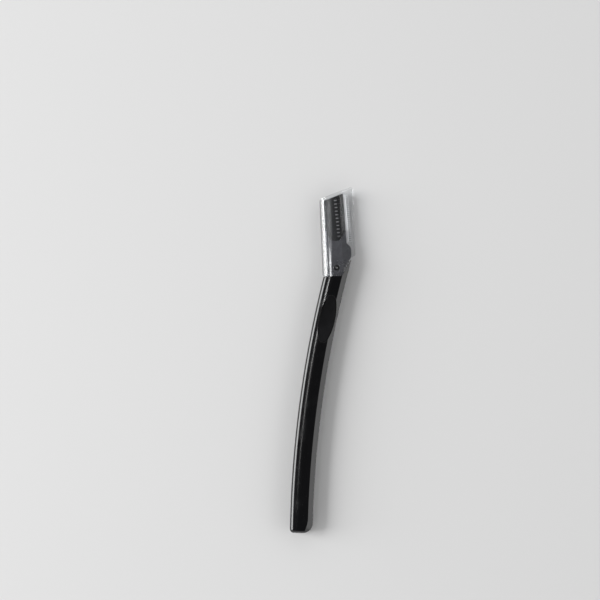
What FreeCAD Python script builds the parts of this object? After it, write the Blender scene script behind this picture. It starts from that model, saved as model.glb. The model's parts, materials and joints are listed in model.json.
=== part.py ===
import FreeCAD, Part
import math
import os

import Sketcher

# Eyebrow razor, lying on its back with the front face up.
# The origin is where the head's axis meets the handle's centre line, on the surface it lies on.
# +Y runs along the head, the way the cap pulls off. +X points to the cutting edge.

SIZES = {
    # Handle: a bar bowed in plan, made of two half shells that meet at the middle plane.
    "handle_length": 112,       # along the bowed centre line, from the origin to the tail
    "handle_width": 10,
    "handle_thick": 7,
    "bow_radius": 485,
    "bend_angle": 16.6,         # between the handle and the head, in plan
    "spine_round": 2.0,         # rounding along the side away from the blade
    "shoulder_width": 3.4,      # from that side to where the slope of the shoulder would meet the face
    "shoulder_angle": 15,
    "crown_round": 10,          # rounding from the shoulder to the face
    "face_edge": 2.85,          # from the centre line to the crease of the blade-side bevel
    "bevel_angle": 33,
    "crease_turn": 14,          # radius with which the crease turns in at the tail
    "crease_start": 7,          # from the tail up to where it turns in
    "tail_round_blade": 4.4,    # corner of the tail in plan, blade side
    "tail_round_spine": 1.8,
    "tail_roll": 1.4,           # rounding of the tail's end, seen from the side
    "tail_wall": 5,
    "hollow_wall": 1.7,         # side wall of the moulded hollows
    "hollow_roof": 0.9,         # between a hollow and the pad's pocket above it
    "rib_width": 6,             # solid stretch between two hollows, which carries a pin
    "pin_radius": 1.0,
    "pin_roof": 0.6,            # between a pin's tip and the pad's pocket
    "pin_root": 0.3,            # how deep a pin stands in its shell
    "pin_fit": 0.05,

    # Inlaid pads, one on the front and one on the back.
    "pad_place": 17.4,          # from the origin to the middle of the pad
    "pad_shift": 0.7,           # from the centre line to the middle of the pad, towards the blade side
    "pad_length": 20.8,
    "pad_width": 6.9,
    "pad_round": 2.2,           # rounding of the oval's ends
    "pad_depth": 1.6,           # depth of the pocket below the handle's face
    "pad_drop": 0.25,           # how far the pad's ends lie below the handle's face
    "pad_dish": 0.8,            # extra depth half way along the pad
    "pad_lean": 2.2,            # from the middle of the pad to its deepest line
    "pad_sway": 38,             # radius of the dish across the handle
    "pad_fit": 0.06,

    # Mouth: where the handle ends and the cap begins, square to the head and then slanted.
    "mouth_rise": 1.5,          # from the origin to the square stretch
    "tip_y": 8.4,               # top of the slanted stretch
    "tip_flat": 0.3,
    "mouth_gap": 0.25,

    # Cap: a clear sleeve whose faces slope down to a fin over the blade.
    "cap_proud": 0.25,          # how far the cap stands out past the handle's spine
    "cap_inset": 0.1,           # how far the cap's faces lie inside the handle's
    "cap_spine_round": 2.7,
    "side_flat": 0.5,           # least straight side, from the middle plane to the rounding
    "cap_wall": 0.8,
    "cap_fit": 0.15,            # between the neck and the cap
    "cap_head_room": 0.5,
    "top_slant": 18.7,
    "fin_room": 0.95,           # from the comb to the fin's inner side
    "fin_low": 10.6,            # lower corner of the fin
    "ridge_x": 4.0,             # where the faces start to slope
    "fin_slope": 17.5,
    "cap_corner": 1.2,
    "snap_x": 1.2,
    "snap_rise": 3.4,           # from the cap's mouth to the middle of the snap
    "dimple_radius": 1.5,       # shallow dish outside the snap
    "dimple_depth": 0.2,
    "pip_radius": 0.6,          # pip inside, over the neck's socket
    "pip_height": 0.1,

    # Head: neck, rounded stop below the blade, tang between the shells.
    "neck_round": 2.2,
    "neck_flat": 0.2,           # least straight side of the neck, from the middle plane
    "socket_radius": 0.95,
    "socket_depth": 0.8,
    "stop_foot": 1.0,           # from the tip of the mouth in to where the stop begins
    "stop_back": 0.1,           # how far the stop lies behind the cutting edge
    "stop_gap": 0.3,            # from the stop to the end of the blade
    "stop_brow": 1.6,           # height of the stop's upper slope
    "stop_height": 3.8,
    "stop_round": 3.0,
    "tang_width": 5,
    "tang_thick": 2.2,
    "tang_length": 12,
    "tang_fit": 0.08,
    "tang_pin_one": 3.2,
    "tang_pin_two": 8.6,

    # Carrier: the cover and the plate behind it, which clamp the blade. The lip is their edge.
    "lip_x": 5.55,
    "lip_height": 0.4,          # thickness of the cover and of the plate at the lip
    "carrier_step": 0.75,       # from the neck's face down to the cover's
    "bevel_reach": 1.6,         # from the ridge to the lip
    "cover_inset": 0.4,         # from the neck's left side to the cover's
    "cover_round": 1.0,
    "cover_fit": 0.08,
    "throat_rise": 1.05,        # from the blade's lower end to the bottom of the cover's U shape
    "throat_left": -0.6,
    "throat_right": 3.3,
    "throat_round": 1.0,
    "throat_slope": 63.5,       # slant of both arms
    "horn_rise": 4.65,          # height of the right arm

    # Blade and its folded guard.
    "blade_thick": 0.25,
    "blade_length": 21.2,
    "blade_low": 15.9,
    "blade_tilt": 2,            # the edge leans this much to the head's axis
    "blade_spine": 4.0,         # from the lip back to the hidden long side
    "blade_edge": 2.0,          # from the lip out to the cutting edge
    "blade_grind": 0.8,
    "edge_land": 0.02,
    "blade_corner": 1.4,
    "blade_cover_over": 0.4,    # how far the cover reaches past the blade's upper end
    "blade_fit": 0.1,
    "peg_radius": 0.8,
    "peg_back": 2.4,            # from the lip back to the row of pegs
    "peg_top": 2.4,             # from the blade's upper end down to the first peg
    "peg_low": 8.0,             # from the blade's lower end up to the last peg
    "peg_grip": 0.9,            # length of the peg inside the plate
    "peg_fit": 0.05,
    "comb_sheet": 0.12,
    "comb_leaf": 1.45,          # from the cutting edge back over the blade
    "comb_lead": 0.12,          # from the cutting edge to the inside of the fold
    "comb_round": 0.2,
    "comb_short": 0.3,          # how far the comb stops short of the blade at each end
    "comb_margin": 0.5,         # from the comb's end to the middle of the first slot, at least
    "tooth_pitch": 0.85,
    "slot_width": 0.48,
    "slot_depth": 1.0,
}

# Lengths and turns that only have to reach past the solid that a cut trims.
OVER = 30.0
FAR = 200.0
AROUND = 60.0
ASIDE = 12.0
UP = FreeCAD.Vector(0, 0, 1)

doc = FreeCAD.newDocument("eyebrow_razor")
sheet = doc.addObject("Spreadsheet::Sheet", "dims")
for row, (alias, value) in enumerate(SIZES.items(), start=1):
    sheet.set(f"A{row}", alias)
    sheet.set(f"B{row}", str(value))
    sheet.setAlias(f"B{row}", alias)
doc.recompute()


class Size:
    """A length or angle with its value now and the expression that keeps it tied to the sheet."""

    def __init__(self, value, text):
        self.value = value
        self.text = text

    def __add__(self, other):
        other = size(other)
        return Size(self.value + other.value, f"({self.text} + {other.text})")

    def __sub__(self, other):
        other = size(other)
        return Size(self.value - other.value, f"({self.text} - {other.text})")

    def __mul__(self, other):
        other = size(other)
        return Size(self.value * other.value, f"({self.text} * {other.text})")

    def __truediv__(self, other):
        other = size(other)
        return Size(self.value / other.value, f"({self.text} / {other.text})")

    def __neg__(self):
        return size(0) - self

    def __radd__(self, other):
        return size(other) + self

    def __rsub__(self, other):
        return size(other) - self

    def __rmul__(self, other):
        return size(other) * self


def size(value):
    return value if isinstance(value, Size) else Size(float(value), repr(float(value)))


def dim(alias):
    return Size(float(SIZES[alias]), f"dims.{alias}")


def sine(angle):
    return Size(math.sin(math.radians(angle.value)), f"sin({angle.text})")


def cosine(angle):
    return Size(math.cos(math.radians(angle.value)), f"cos({angle.text})")


def tangent(angle):
    return Size(math.tan(math.radians(angle.value)), f"tan({angle.text})")


def least(one, two):
    return Size(min(one.value, two.value), f"min({one.text}; {two.text})")


def whole(number):
    return Size(math.floor(number.value), f"floor({number.text})")


# The handle's half section.
half_thick = dim("handle_thick") / 2
half_width = dim("handle_width") / 2
pad_floor = half_thick - dim("pad_depth")
hollow_height = pad_floor - dim("hollow_roof")
pin_height = pad_floor - dim("pin_roof")
half_tang = dim("tang_thick") / 2
bow = dim("bow_radius")
bend = dim("bend_angle")


def bow_angle(station):
    """How far the centre line has turned at a distance from the origin along it."""
    return station / bow * (180 / math.pi)


def bow_x(station):
    return bow * (1 - cosine(bow_angle(station)))


def bow_y(station):
    return -(bow * sine(bow_angle(station)))


def handle_line(offset, y):
    """Where a line beside the handle's straight start crosses a height, in the head's axes."""
    return offset * cosine(bend) + (y + offset * sine(bend)) * tangent(bend)


# Two ribs part the hollows evenly between the tang and the tail. Each carries a pin.
RIBS = 2
hollow_start = dim("tang_length") + dim("rib_width") / 2
hollow_end = dim("handle_length") - dim("tail_wall")
ribs = [hollow_start + (hollow_end - hollow_start) * (i / (RIBS + 1)) for i in range(1, RIBS + 1)]
tang_pins = [dim("tang_pin_one"), dim("tang_pin_two")]

# The mouth follows the handle: square up to the crease of the bevel, then slanted to its edge.
mouth_corner = handle_line(dim("face_edge"), dim("mouth_rise"))
tip_x = handle_line(half_width, dim("tip_y")) - dim("tip_flat")
mouth_slope = (dim("tip_y") - dim("mouth_rise")) / (tip_x - mouth_corner)

# The blade's axes start on the lip, half way up the blade, and lean with the edge.
tilt = dim("blade_tilt")
half_blade = dim("blade_thick") / 2
blade_end = dim("blade_length") / 2
blade_mid = dim("blade_low") + blade_end


def lip_at(y):
    """Where the lip lies, in the head's axes."""
    return dim("lip_x") - (y - blade_mid) * tangent(tilt)


# The cap is sized by what it covers: handle, comb and the slanted top of the head.
lip_low = lip_at(dim("blade_low"))
lip_top = lip_at(blade_mid + blade_end)
comb_inside = dim("blade_edge") + dim("comb_lead")
comb_outside = comb_inside + dim("comb_sheet")
cap_left = handle_line(-half_width, dim("mouth_rise")) - dim("cap_proud")
fin_x = lip_low + comb_outside + dim("fin_room") + dim("cap_wall")
cap_face = half_thick - dim("cap_inset")
cap_round = least(dim("cap_spine_round"), cap_face - dim("side_flat"))
roof_drop = dim("cap_wall") / cosine(dim("top_slant"))
head_drop = (dim("cap_wall") + dim("cap_head_room")) / cosine(dim("top_slant"))
neck_inset = dim("cap_wall") + dim("cap_fit")
neck_face = cap_face - neck_inset
neck_round = least(dim("neck_round"), neck_face - dim("neck_flat"))
carrier_half = neck_face - dim("carrier_step")
snap_y = dim("mouth_rise") + dim("mouth_gap") + dim("snap_rise")
throat_y = dim("blade_low") + dim("throat_rise")
horn_y = throat_y + dim("horn_rise")


def head_top(x):
    """The slanted top of the plate and the cover, just past the blade at the lip."""
    lip_height = blade_mid + blade_end + dim("blade_cover_over")
    return lip_height + (x - lip_top) * tangent(dim("top_slant"))


def cap_top(x):
    return head_top(x) + head_drop


# Bodies, planes and sketches.
def new_body(label):
    body = doc.addObject("PartDesign::Body", label)
    body.Label = label
    body.Placement = FreeCAD.Placement(FreeCAD.Vector(0, 0, half_thick.value), FreeCAD.Rotation())
    body.setExpression("Placement.Base.z", half_thick.text)
    return body


def place(item, prop, x=None, y=None, z=None, angle=None, axis=(0, 0, 1)):
    """Ties a placement's base and turn to the sheet. The turn is a positive angle about the axis."""
    values = [part.value if part else 0 for part in (x, y, z)]
    turn = FreeCAD.Rotation(FreeCAD.Vector(*axis), angle.value if angle else 0)
    setattr(item, prop, FreeCAD.Placement(FreeCAD.Vector(*values), turn))
    for name, part in (("Base.x", x), ("Base.y", y), ("Base.z", z), ("Rotation.Angle", angle)):
        if part:
            item.setExpression(f"{prop}.{name}", part.text)


def on_handle(body):
    """Puts a body in the handle's axes: the handle leaves the origin straight down -Y."""
    place(body, "Placement", z=half_thick, angle=bend, axis=(0, 0, -1))


def on_blade(body):
    """Puts a body in the blade's axes: +Y along the lip, +X to the cutting edge."""
    place(body, "Placement", dim("lip_x"), blade_mid, half_thick, tilt)


def in_head_axes(sketch):
    """Turns a sketch of a body on the blade back to the head's axes."""
    x = dim("lip_x") * cosine(tilt) + blade_mid * sine(tilt)
    y = blade_mid * cosine(tilt) - dim("lip_x") * sine(tilt)
    place(sketch, "AttachmentOffset", -x, -y, angle=tilt, axis=(0, 0, -1))


def at_station(sketch, station, height=None):
    """Moves a sketch of a body on the handle along the bowed centre line."""
    place(sketch, "AttachmentOffset", bow_x(station), bow_y(station), height, bow_angle(station))


def new_sketch(body, name, role="XY_Plane"):
    sketch = body.newObject("Sketcher::SketchObject", f"{body.Label}_{name}")
    plane = next(item for item in body.Origin.OriginFeatures if item.Role == role)
    sketch.AttachmentSupport = (plane, [""])
    sketch.MapMode = "FlatFace"
    return sketch


def fix_point(sketch, item, spot, x, y):
    """Ties one point of a sketch to its two distances from the sketch's origin."""
    for kind, length in (("DistanceX", size(x)), ("DistanceY", size(y))):
        index = sketch.addConstraint(Sketcher.Constraint(kind, -1, 1, item, spot, length.value))
        sketch.setExpression(f"Constraints[{index}]", length.text)


def fix_height(sketch, item, spot, y):
    index = sketch.addConstraint(Sketcher.Constraint("DistanceY", -1, 1, item, spot, y.value))
    sketch.setExpression(f"Constraints[{index}]", y.text)


def fix_radius(sketch, item, radius):
    radius = size(radius)
    index = sketch.addConstraint(Sketcher.Constraint("Radius", item, radius.value))
    sketch.setExpression(f"Constraints[{index}]", radius.text)


def circle(sketch, x, y, radius):
    x, y, radius = size(x), size(y), size(radius)
    centre = FreeCAD.Vector(x.value, y.value, 0)
    item = sketch.addGeometry(Part.Circle(centre, UP, radius.value), False)
    fix_point(sketch, item, 3, x, y)
    fix_radius(sketch, item, radius)


def outline(sketch, corners):
    """Draws a closed outline of straight lines. A third value rounds its corner with that radius."""
    points = [FreeCAD.Vector(size(c[0]).value, size(c[1]).value, 0) for c in corners]
    radii = [size(c[2]) if len(c) > 2 else None for c in corners]
    count = len(corners)
    starts, ends, arcs = [], [], []
    for i in range(count):
        point, radius = points[i], radii[i]
        if radius is None:
            starts.append(point)
            ends.append(point)
            arcs.append(None)
            continue
        back = (points[i - 1] - point).normalize()
        ahead = (points[(i + 1) % count] - point).normalize()
        half = back.getAngle(ahead) / 2
        run = radius.value / math.tan(half)
        middle = (back + ahead).normalize() * (radius.value / math.sin(half))
        ends.append(point + back * run)
        starts.append(point + ahead * run)
        arcs.append(point + middle)
    lines = [
        sketch.addGeometry(Part.LineSegment(starts[i], ends[(i + 1) % count]), False)
        for i in range(count)
    ]
    for i in range(count):
        before, after = lines[i - 1], lines[i]
        if radii[i] is None:
            sketch.addConstraint(Sketcher.Constraint("Coincident", before, 2, after, 1))
            fix_point(sketch, after, 1, corners[i][0], corners[i][1])
            continue
        corner = sketch.addGeometry(Part.Point(points[i]), True)
        fix_point(sketch, corner, 1, corners[i][0], corners[i][1])
        sketch.addConstraint(Sketcher.Constraint("PointOnObject", corner, 1, before))
        sketch.addConstraint(Sketcher.Constraint("PointOnObject", corner, 1, after))
        centre = arcs[i]
        first, last = ends[i] - centre, starts[i] - centre
        left_turn = first.cross(last).z > 0
        if not left_turn:
            first, last = last, first
        angle = math.atan2(first.y, first.x)
        sweep = math.atan2(last.y, last.x)
        ring = Part.Circle(centre, UP, radii[i].value)
        arc = sketch.addGeometry(Part.ArcOfCircle(ring, angle, sweep), False)
        sketch.addConstraint(Sketcher.Constraint("Tangent", before, 2, arc, 1 if left_turn else 2))
        sketch.addConstraint(Sketcher.Constraint("Tangent", arc, 2 if left_turn else 1, after, 1))
        fix_radius(sketch, arc, radii[i])


def frame_outline(sketch, corners):
    """Draws an outline inside a large square, so that a cut removes all that lies outside it."""
    outline(sketch, [(-FAR, -FAR), (FAR, -FAR), (FAR, FAR), (-FAR, FAR)])
    outline(sketch, corners)


# Features.
def pad(body, sketch, name, length, both=False, down=False):
    feature = body.newObject("PartDesign::Pad", f"{body.Label}_{name}")
    feature.Profile = sketch
    feature.SideType = "Symmetric" if both else "One side"
    feature.Reversed = down
    feature.setExpression("Length", size(length).text)
    return feature


def cut(body, sketch, name, length=None, both=False, up=False):
    """Cuts down from the sketch, or up, or both ways, right through unless a length is given."""
    feature = body.newObject("PartDesign::Pocket", f"{body.Label}_{name}")
    feature.Profile = sketch
    feature.SideType = "Symmetric" if both else "One side"
    feature.Reversed = up
    if length is None:
        feature.Type = "ThroughAll"
    else:
        feature.setExpression("Length", size(length).text)
    return feature


# Handle: its centre line, section and two shells.
def bow_line(sketch, reach):
    """The handle's centre line: a straight start above the origin, then the bow down to the tail."""
    top = FreeCAD.Vector(0, reach.value, 0)
    zero = FreeCAD.Vector(0, 0, 0)
    line = sketch.addGeometry(Part.LineSegment(top, zero), False)
    fix_point(sketch, line, 1, 0, reach)
    sketch.addConstraint(Sketcher.Constraint("Coincident", line, 2, -1, 1))
    sweep = math.radians(bow_angle(dim("handle_length")).value)
    ring = Part.Circle(FreeCAD.Vector(bow.value, 0, 0), UP, bow.value)
    arc = sketch.addGeometry(Part.ArcOfCircle(ring, math.pi, math.pi + sweep), False)
    sketch.addConstraint(Sketcher.Constraint("Coincident", arc, 1, -1, 1))
    fix_point(sketch, arc, 3, bow, 0)
    fix_height(sketch, arc, 2, bow_y(dim("handle_length")))


def bow_band(sketch, first, last):
    """A stretch of the handle between two stations, inside its side walls."""
    arcs = []
    for side in (-1, 1):
        radius = bow - (half_width - dim("hollow_wall")) * side
        start, stop = (math.pi + math.radians(bow_angle(station).value) for station in (first, last))
        ring = Part.Circle(FreeCAD.Vector(bow.value, 0, 0), UP, radius.value)
        arc = sketch.addGeometry(Part.ArcOfCircle(ring, start, stop), False)
        x = bow - radius * cosine(bow_angle(first))
        fix_point(sketch, arc, 3, bow, 0)
        fix_point(sketch, arc, 1, x, -(radius * sine(bow_angle(first))))
        fix_height(sketch, arc, 2, -(radius * sine(bow_angle(last))))
        arcs.append(arc)
    for spot in (1, 2):
        ends = [sketch.getPoint(arc, spot) for arc in arcs]
        line = sketch.addGeometry(Part.LineSegment(*ends), False)
        sketch.addConstraint(Sketcher.Constraint("Coincident", line, 1, arcs[0], spot))
        sketch.addConstraint(Sketcher.Constraint("Coincident", line, 2, arcs[1], spot))


def close_arc(sketch, arc, first, last, route):
    """Closes an outline that starts with an arc, with straight lines from one end of it to the other."""
    spots = [FreeCAD.Vector(x.value, y.value, 0) for x, y in route]
    lines = [sketch.addGeometry(Part.LineSegment(a, b), False) for a, b in zip(spots, spots[1:])]
    sketch.addConstraint(Sketcher.Constraint("Coincident", arc, first, lines[0], 1))
    sketch.addConstraint(Sketcher.Constraint("Coincident", arc, last, lines[-1], 2))
    for before, after, (x, y) in zip(lines, lines[1:], route[1:]):
        sketch.addConstraint(Sketcher.Constraint("Coincident", before, 2, after, 1))
        fix_point(sketch, after, 1, x, y)


def corner_waste(sketch, x, y, inward_x, inward_y, radius):
    """What a rounded corner leaves outside it. The solid lies inward of the corner at x, y."""
    x, y = size(x), size(y)
    far_x, far_y = x + radius * inward_x, y + radius * inward_y
    out_x, out_y = x - radius * inward_x, y - radius * inward_y
    centre = FreeCAD.Vector(far_x.value, far_y.value, 0)
    first, last = math.atan2(-inward_y, 0), math.atan2(0, -inward_x)
    from_x_side = inward_x * inward_y < 0
    if not from_x_side:
        first, last = last, first
    arc = sketch.addGeometry(Part.ArcOfCircle(Part.Circle(centre, UP, radius.value), first, last), False)
    on_x, on_y = (1, 2) if from_x_side else (2, 1)
    fix_radius(sketch, arc, radius)
    fix_point(sketch, arc, on_x, far_x, y)
    fix_point(sketch, arc, on_y, x, far_y)
    route = [(far_x, y), (far_x, out_y), (out_x, out_y), (out_x, far_y), (x, far_y)]
    close_arc(sketch, arc, on_x, on_y, route)


def handle_section(side):
    """Half of the handle's section before its bevel: rounded spine, domed shoulder, flat face."""
    wide = dim("shoulder_width")
    return [
        (-half_width, 0),
        (-half_width, (half_thick - wide * tangent(dim("shoulder_angle"))) * side, dim("spine_round")),
        (wide - half_width, half_thick * side, dim("crown_round")),
        (half_width, half_thick * side),
        (half_width, 0),
    ]


def crease_line(sketch, reach):
    """The crease of the bevel: it keeps to the centre line's bow and turns in at the tail."""
    edge, turn = dim("face_edge"), dim("crease_turn")
    radius = bow - edge
    angle = bow_angle(dim("handle_length") - dim("crease_start"))
    start, foot = FreeCAD.Vector(edge.value, reach.value, 0), FreeCAD.Vector(edge.value, 0, 0)
    line = sketch.addGeometry(Part.LineSegment(start, foot), False)
    fix_point(sketch, line, 1, edge, reach)
    fix_point(sketch, line, 2, edge, 0)
    sweep = math.radians(angle.value)
    ring = Part.Circle(FreeCAD.Vector(bow.value, 0, 0), UP, radius.value)
    arc = sketch.addGeometry(Part.ArcOfCircle(ring, math.pi, math.pi + sweep), False)
    sketch.addConstraint(Sketcher.Constraint("Coincident", arc, 1, line, 2))
    fix_point(sketch, arc, 3, bow, 0)
    fix_height(sketch, arc, 2, -(radius * sine(angle)))
    x, y = bow - (radius + turn) * cosine(angle), -((radius + turn) * sine(angle))
    ring = Part.Circle(FreeCAD.Vector(x.value, y.value, 0), UP, turn.value)
    bend_in = sketch.addGeometry(Part.ArcOfCircle(ring, sweep - math.radians(AROUND), sweep), False)
    sketch.addConstraint(Sketcher.Constraint("Coincident", bend_in, 2, arc, 2))
    fix_point(sketch, bend_in, 3, x, y)
    fix_height(sketch, bend_in, 1, y + turn * sine(angle - AROUND))


def bevel_waste(side):
    """What the bevel takes off, beside its crease."""
    edge, out = dim("face_edge"), dim("face_edge") + half_width
    low = half_thick - half_width * tangent(dim("bevel_angle"))
    above = half_thick * 2
    return [(edge, half_thick * side), (out, low * side), (out, above * side), (edge, above * side)]


def pad_oval(sketch, gap):
    """The pad's outline: two long arcs along its sides that run into the round ends."""
    middle, end_round = dim("pad_shift"), dim("pad_round") - gap
    across, along = dim("pad_width") / 2 - gap, dim("pad_length") / 2 - gap
    reach, spread = along - end_round, across - end_round
    side_round = (reach * reach + across * across - end_round * end_round) / (spread * 2)
    back = side_round - across
    share = side_round / (side_round - end_round)
    meet_x, meet_y = back * share - back, reach * share
    opening = math.atan2(meet_y.value, meet_x.value + back.value)
    sides = []
    for hand in (1, -1):
        centre = middle - back * hand
        ring = Part.Circle(FreeCAD.Vector(centre.value, 0, 0), UP, side_round.value)
        facing = 0 if hand > 0 else math.pi
        arc = sketch.addGeometry(Part.ArcOfCircle(ring, facing - opening, facing + opening), False)
        fix_point(sketch, arc, 3, centre, 0)
        fix_point(sketch, arc, 1, middle + meet_x * hand, -(meet_y * hand))
        fix_height(sketch, arc, 2, meet_y * hand)
        sides.append(arc)
    for first, last, hand in ((sides[0], sides[1], 1), (sides[1], sides[0], -1)):
        ring = Part.Circle(FreeCAD.Vector(middle.value, reach.value * hand, 0), UP, end_round.value)
        start = opening if hand > 0 else math.pi + opening
        arc = sketch.addGeometry(Part.ArcOfCircle(ring, start, start + math.pi - opening * 2), False)
        sketch.addConstraint(Sketcher.Constraint("Coincident", arc, 1, first, 2))
        sketch.addConstraint(Sketcher.Constraint("Coincident", arc, 2, last, 1))
        fix_radius(sketch, arc, end_round)


def tang_outline(gap):
    """The tang in the handle's axes. Its upper end lies inside the neck."""
    across = dim("tang_width") / 2 + gap
    low = -(dim("tang_length") + gap)
    high = dim("mouth_rise") * 2
    return [(-across, low), (across, low), (across, high), (-across, high)]


def pin_circles(sketch, stations, radius):
    for station in stations:
        circle(sketch, bow_x(station), bow_y(station), radius)


def handle_shell(label, side):
    front = side > 0
    tail = dim("handle_length")
    body = new_body(label)
    on_handle(body)
    reach = dim("tip_y") + half_width
    path = new_sketch(body, "path")
    bow_line(path, reach)
    section = new_sketch(body, "section", "XZ_Plane")
    place(section, "AttachmentOffset", z=-reach)
    outline(section, handle_section(side))
    bar = body.newObject("PartDesign::AdditivePipe", f"{label}_bar")
    bar.Profile = section
    bar.Spine = (path, ["Edge1", "Edge2"])
    crease = new_sketch(body, "crease")
    crease_line(crease, reach)
    waste = new_sketch(body, "bevel_section", "XZ_Plane")
    place(waste, "AttachmentOffset", z=-reach)
    outline(waste, bevel_waste(side))
    bevel = body.newObject("PartDesign::SubtractivePipe", f"{label}_bevel")
    bevel.Profile = waste
    bevel.Spine = (crease, ["Edge1", "Edge2", "Edge3"])

    # The tail has two corners of different size in plan, and an end that rolls over.
    corners = new_sketch(body, "tail_corners")
    at_station(corners, tail)
    corner_waste(corners, half_width, 0, -1, 1, dim("tail_round_blade"))
    corner_waste(corners, -half_width, 0, 1, 1, dim("tail_round_spine"))
    cut(body, corners, "tail_corner_cut", both=True)
    roll = new_sketch(body, "tail_roll", "YZ_Plane")
    place(roll, "AttachmentOffset", x=bow_y(tail), z=bow_x(tail), angle=bow_angle(tail), axis=(0, 1, 0))
    corner_waste(roll, 0, half_thick * side, 1, -side, dim("tail_roll"))
    cut(body, roll, "tail_roll_cut", both=True)

    mouth = new_sketch(body, "mouth")
    place(mouth, "AttachmentOffset", angle=bend)
    outline(mouth, [
        (-OVER, dim("mouth_rise")),
        (mouth_corner, dim("mouth_rise")),
        (tip_x, dim("tip_y")),
        (OVER, dim("tip_y")),
        (OVER, OVER),
        (-OVER, OVER),
    ])
    cut(body, mouth, "mouth_cut", both=True)

    # Hollows between solid ribs, open at the middle plane.
    half_rib = dim("rib_width") / 2
    starts = [hollow_start] + [rib + half_rib for rib in ribs]
    ends = [rib - half_rib for rib in ribs] + [hollow_end]
    hollows = new_sketch(body, "hollows")
    for first, last in zip(starts, ends):
        bow_band(hollows, first, last)
    cut(body, hollows, "hollow_cut", hollow_height, up=front)

    pocket = new_sketch(body, "pad_pocket")
    at_station(pocket, dim("pad_place"), pad_floor * side)
    pad_oval(pocket, size(0))
    cut(body, pocket, "pad_pocket_cut", up=front)

    slot = new_sketch(body, "tang_slot")
    outline(slot, tang_outline(dim("tang_fit")))
    cut(body, slot, "tang_slot_cut", half_tang + dim("tang_fit"), up=front)

    # Pins stand on the back shell, pass the tang and end in blind holes of the front shell.
    pins = new_sketch(body, "pins")
    if front:
        pin_circles(pins, tang_pins + ribs, dim("pin_radius") + dim("pin_fit"))
        cut(body, pins, "pin_holes", pin_height + dim("pin_fit"), up=True)
    else:
        root = half_tang + dim("tang_fit") + dim("pin_root")
        place(pins, "AttachmentOffset", z=-root)
        pin_circles(pins, tang_pins + ribs, dim("pin_radius"))
        pad(body, pins, "pin_posts", root + pin_height)
    return body


def dish_waste(sketch, ring, side):
    """What the pad's dish takes off, seen along the handle: a shallow arc with a block above it."""
    sway, turn = dim("pad_sway"), size(ASIDE)
    middle, rise = dim("pad_shift") + dim("pad_lean"), (sway - ring) * side
    low = rise - sway * cosine(turn) * side
    above = (dim("pad_depth") * 2 - ring) * side
    first, last = middle - sway * sine(turn) * side, middle + sway * sine(turn) * side
    ring_edge = Part.Circle(FreeCAD.Vector(middle.value, rise.value, 0), UP, sway.value)
    facing = -math.pi / 2 * side
    spread = math.radians(ASIDE)
    arc = sketch.addGeometry(Part.ArcOfCircle(ring_edge, facing - spread, facing + spread), False)
    fix_point(sketch, arc, 3, middle, rise)
    fix_point(sketch, arc, 1, first, low)
    fix_height(sketch, arc, 2, low)
    close_arc(sketch, arc, 2, 1, [(last, low), (last, above), (first, above), (first, low)])


def inlay_pad(label, side):
    """A soft pad in the pocket of a shell, dished for a fingertip and deepest near the bevel."""
    front = side > 0
    station = dim("pad_place")
    body = new_body(label)
    x = bow_x(station) * cosine(bend) + bow_y(station) * sine(bend)
    y = bow_y(station) * cosine(bend) - bow_x(station) * sine(bend)
    place(body, "Placement", x, y, half_thick, bend - bow_angle(station), axis=(0, 0, -1))
    base = new_sketch(body, "base")
    place(base, "AttachmentOffset", z=pad_floor * side)
    pad_oval(base, dim("pad_fit"))
    pad(body, base, "block", dim("pad_depth"), down=not front)

    # The dish is part of a ring: an arc across the handle, turned about an axis far above it.
    dip = dim("pad_dish")
    bottom = half_thick - dim("pad_drop") - dip
    ring = dim("pad_length") * dim("pad_length") / (dip * 8) + dip / 2
    dish = new_sketch(body, "dish", "XZ_Plane")
    place(dish, "AttachmentOffset", y=(bottom + ring) * side)
    dish_waste(dish, ring, side)
    scoop = body.newObject("PartDesign::Groove", f"{label}_scoop")
    scoop.Profile = dish
    scoop.ReferenceAxis = (dish, ["H_Axis"])
    scoop.Angle = AROUND
    scoop.Midplane = True
    return body


# Head section: the cap's outside, its core and the neck are one shape at three insets.
def head_section(inset, spine):
    slope = dim("fin_slope")
    left, right = cap_left + inset, fin_x - inset
    flat = cap_face - inset
    crease = dim("ridge_x") - inset * tangent(slope / 2)
    edge = cap_face - (right - dim("ridge_x")) * tangent(slope) - inset / cosine(slope)
    return [
        (left, -flat, spine),
        (crease, -flat),
        (right, -edge),
        (right, edge),
        (crease, flat),
        (left, flat, spine),
    ]


def section_bar(body, inset, spine, start):
    """A bar of the head's section along +Y, past the cap's highest point."""
    section = new_sketch(body, "section", "XZ_Plane")
    place(section, "AttachmentOffset", z=-start)
    outline(section, head_section(inset, spine))
    pad(body, section, "bar", cap_top(fin_x * 2) - start, down=True)


def throat_corners(gap):
    """The U-shaped lower end of the cover, from its left arm to its right one, moved in by the gap."""
    rise = tangent(dim("throat_slope"))
    shift = gap * tangent(dim("throat_slope") / 2)
    left, right = dim("throat_left") + shift, dim("throat_right") - shift
    low = throat_y + gap
    return [
        (cap_left, low + (left - cap_left) * rise),
        (left, low, dim("throat_round")),
        (right, low, dim("throat_round")),
        (fin_x, low + (fin_x - right) * rise),
    ]


def carrier_waste():
    """All that lies above the U-shaped line, where the neck steps down to the blade's seat."""
    horn_x = dim("throat_right") + dim("horn_rise") / tangent(dim("throat_slope"))
    far = cap_top(fin_x * 2)
    above = [(horn_x, horn_y), (fin_x, horn_y), (fin_x, far), (cap_left, far)]
    return throat_corners(size(0))[:3] + above


def lip_bevel(sketch):
    """The waste behind the bevel that thins the plate down to its lip, in the blade's axes."""
    reach, lip = dim("bevel_reach"), half_blade + dim("lip_height")
    outline(sketch, [
        (-reach, -carrier_half),
        (reach, carrier_half - lip * 2),
        (reach, -carrier_half * 2),
        (-reach, -carrier_half * 2),
    ])


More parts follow.
